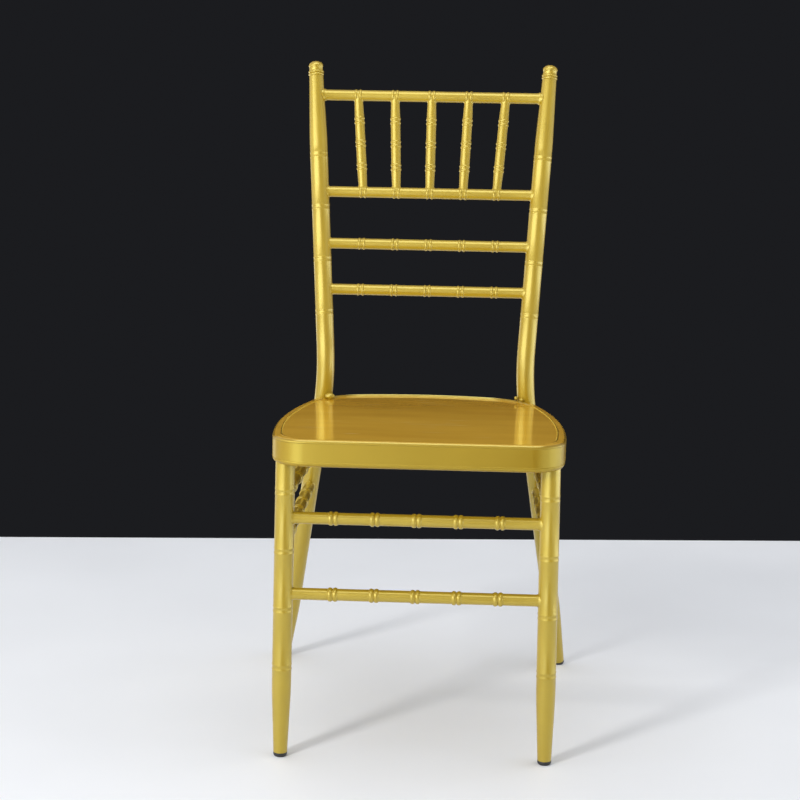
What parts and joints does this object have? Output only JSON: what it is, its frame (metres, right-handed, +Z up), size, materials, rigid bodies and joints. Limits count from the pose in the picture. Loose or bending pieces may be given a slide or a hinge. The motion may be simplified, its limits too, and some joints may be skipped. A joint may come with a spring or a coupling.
{
  "type": "banquet chair",
  "caption": "Gold-painted tubular metal banquet chair with ringed legs, rails and spindles, a pressed seat pan, domed finials and plastic foot glides; rigid and free-standing.",
  "frame": {"origin": "on the floor, in the middle of the chair's box", "axes": "+X to the right when the chair is seen from its front, +Y to its back, +Z up; the sitter faces -Y"},
  "size_m": [0.4506, 0.4628, 0.9203],
  "materials": {
    "gold_tube": "satin metallic gold paint on steel tube",
    "gold_seat": "glossier metallic gold paint on pressed steel sheet",
    "black_glide": "moulded black plastic"
  },
  "bodies": {
    "root": {"front_leg_left": "gold_tube", "front_leg_right": "gold_tube", "rear_post_left": "gold_tube", "rear_post_right": "gold_tube", "finial_left": "gold_tube", "finial_right": "gold_tube", "foot_glide_front_left": "black_glide", "foot_glide_front_right": "black_glide", "foot_glide_rear_left": "black_glide", "foot_glide_rear_right": "black_glide", "seat_pan": "gold_seat", "seat_stiffener_front": "gold_seat", "seat_stiffener_rear": "gold_seat", "top_rail": "gold_tube", "spindle_rail": "gold_tube", "middle_back_rail": "gold_tube", "lower_back_rail": "gold_tube", "spindle_1": "gold_tube", "spindle_2": "gold_tube", "spindle_3": "gold_tube", "spindle_4": "gold_tube", "spindle_5": "gold_tube", "front_stretcher_upper": "gold_tube", "front_stretcher_lower": "gold_tube", "rear_stretcher": "gold_tube", "side_stretcher_upper_left": "gold_tube", "side_stretcher_upper_right": "gold_tube", "side_stretcher_lower_left": "gold_tube", "side_stretcher_lower_right": "gold_tube"}
  },
  "joints": []
}
